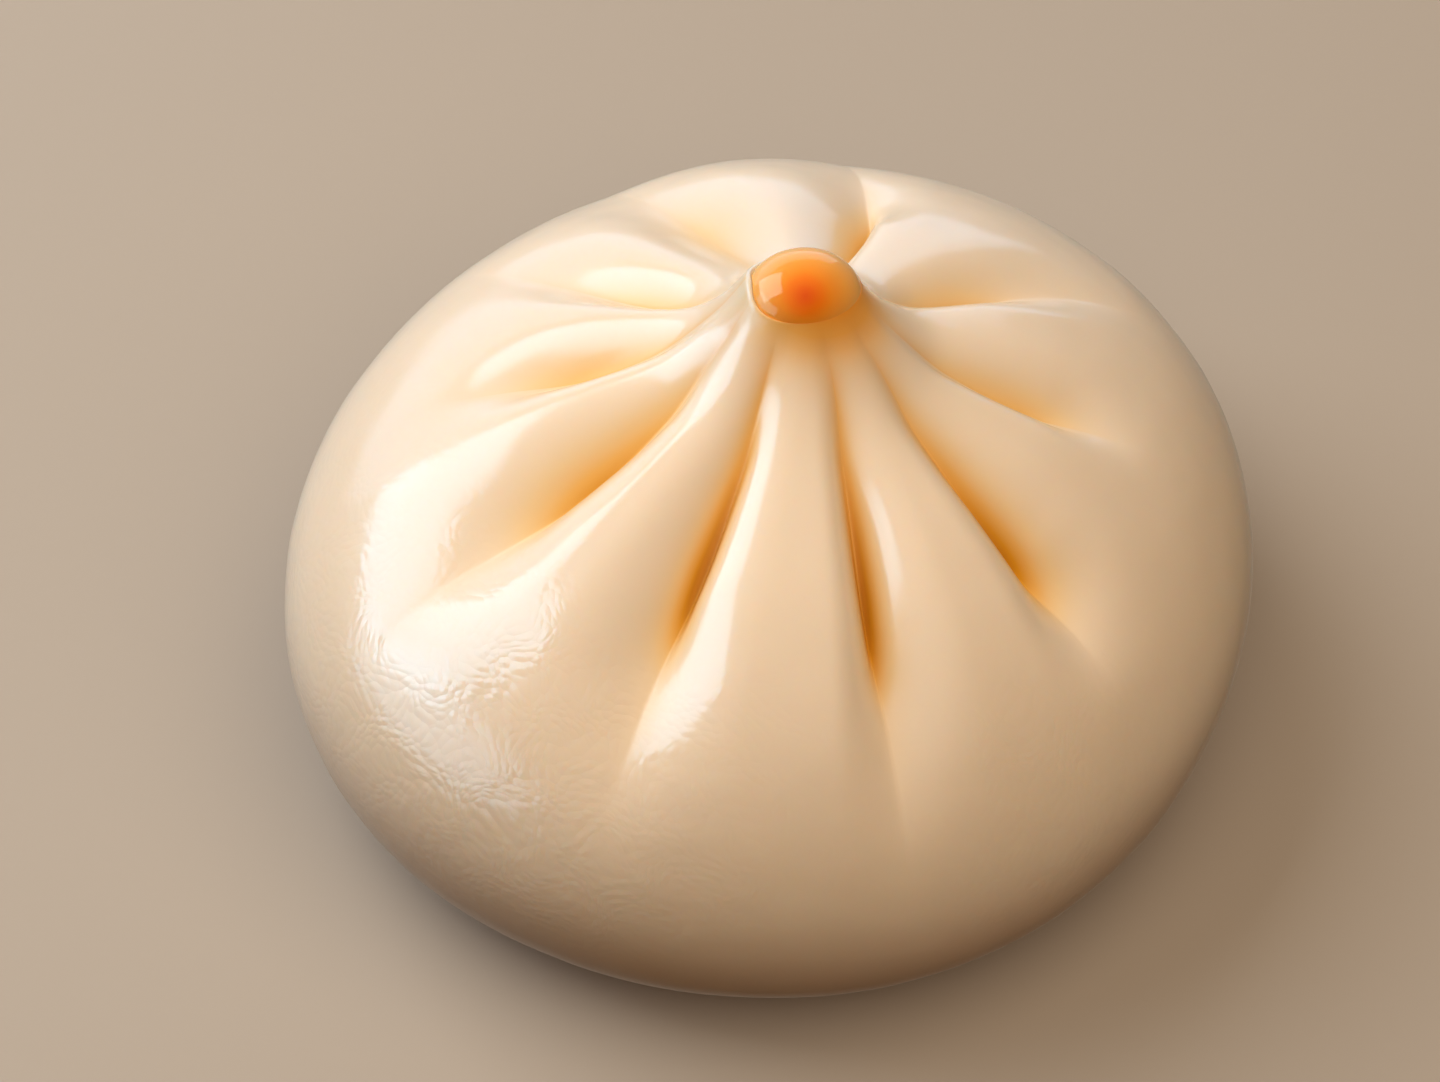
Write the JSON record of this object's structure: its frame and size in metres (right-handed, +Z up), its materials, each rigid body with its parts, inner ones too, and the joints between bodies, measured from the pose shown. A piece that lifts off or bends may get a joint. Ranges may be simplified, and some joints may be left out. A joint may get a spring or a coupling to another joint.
{
  "type": "steamed bun",
  "caption": "Domed steamed wheat bun with deep pleats drawn up to a neck and a glossy orange bead seated in its mouth.",
  "frame": {"origin": "on the surface that the bun stands on, at the middle of its flat foot, under the middle of its widest ring", "axes": "+Z up through the dome, -Y towards the bun's front, +X to its right"},
  "size_m": [0.1022, 0.0978, 0.0635],
  "materials": {
    "dough": null,
    "roe": null
  },
  "bodies": {
    "root": {"dough": "dough", "roe_bead": "roe"}
  },
  "joints": []
}
